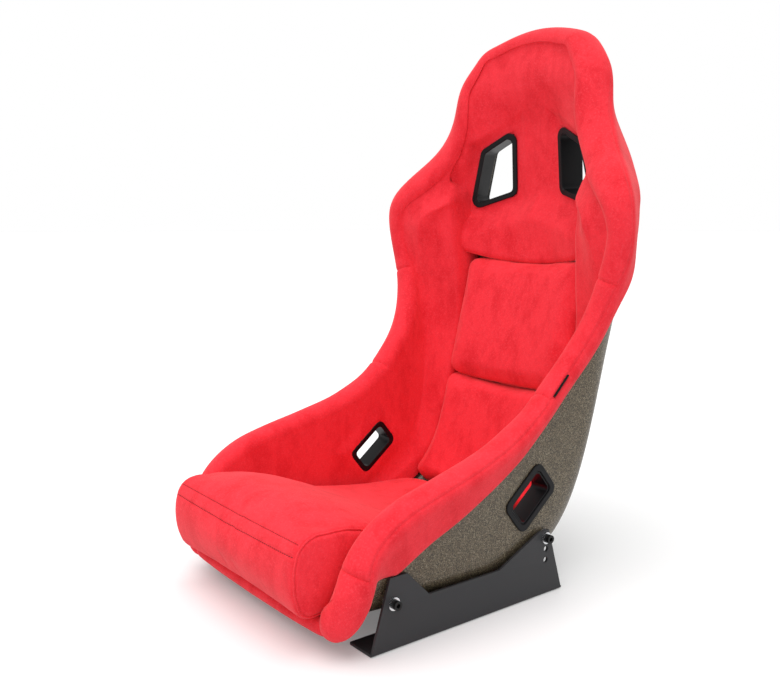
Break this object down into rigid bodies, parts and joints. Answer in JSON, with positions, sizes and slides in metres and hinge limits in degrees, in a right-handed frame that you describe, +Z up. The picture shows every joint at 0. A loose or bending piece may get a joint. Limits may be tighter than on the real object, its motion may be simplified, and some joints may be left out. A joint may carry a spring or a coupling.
{
  "type": "racing seat",
  "caption": "Fixed-back bucket racing seat with a rigid shell, rolled padded rim, loose cushions, harness slots and side mounting brackets.",
  "frame": {"origin": "on the floor plane, midway between the two side brackets and midway between their front and rear bolt holes", "axes": "+Z up, the sitter faces -Y, +X is the sitter's left"},
  "size_m": [0.57, 0.6542, 0.8783],
  "materials": {
    "gelcoat": "gold-bronze metal flake gelcoat over glass fibre, semi-gloss",
    "bracket_black": "satin black powder coat on folded steel plate",
    "bolt_black": "black oxide steel",
    "zinc": "bright zinc plate",
    "bezel_plastic": "moulded black plastic, soft gloss",
    "red_suede": "red suede-like microfibre over foam, napped",
    "hook_and_loop": "black hook-and-loop tape",
    "tag_fabric": "plain black woven tape, blank"
  },
  "bodies": {
    "root": {"seat_shell": "gelcoat", "left_side_bracket": "bracket_black", "right_side_bracket": "bracket_black", "bracket_bolts": "bolt_black", "bracket_washers": "zinc", "mount_inserts": "zinc", "left_lap_bezel_front": "bezel_plastic", "right_lap_bezel_front": "bezel_plastic", "left_lap_bezel_rear": "bezel_plastic", "right_lap_bezel_rear": "bezel_plastic", "left_shoulder_bezel_front": "bezel_plastic", "right_shoulder_bezel_front": "bezel_plastic", "left_shoulder_bezel_rear": "bezel_plastic", "right_shoulder_bezel_rear": "bezel_plastic", "left_side_lining": "red_suede", "right_side_lining": "red_suede", "upper_back_pad": "red_suede", "left_thigh_bolster": "red_suede", "right_thigh_bolster": "red_suede", "left_side_bolster": "red_suede", "right_side_bolster": "red_suede", "left_shoulder_bolster": "red_suede", "right_shoulder_bolster": "red_suede", "head_bolster": "red_suede", "front_lip_pad": "red_suede", "base_loop_strips": "hook_and_loop", "back_loop_strips": "hook_and_loop", "label_tag": "tag_fabric"},
    "base_cushion_body": {"base_cushion": "red_suede", "base_hook_strips": "hook_and_loop"},
    "lumbar_cushion_body": {"lumbar_cushion": "red_suede", "lumbar_hook_strips": "hook_and_loop"},
    "back_cushion_body": {"back_cushion": "red_suede", "back_hook_strips": "hook_and_loop"}
  },
  "joints": [
    {"name": "base_cushion_lift", "type": "slide", "parent": "root", "child": "base_cushion_body", "axis": [0, -0.8192, 0.5736], "range_m": [0, 0.35]},
    {"name": "lumbar_cushion_lift", "type": "slide", "parent": "root", "child": "lumbar_cushion_body", "axis": [0, -0.969, 0.247], "range_m": [0, 0.2]},
    {"name": "back_cushion_lift", "type": "slide", "parent": "root", "child": "back_cushion_body", "axis": [0, -0.975, 0.222], "range_m": [0, 0.2]}
  ]
}
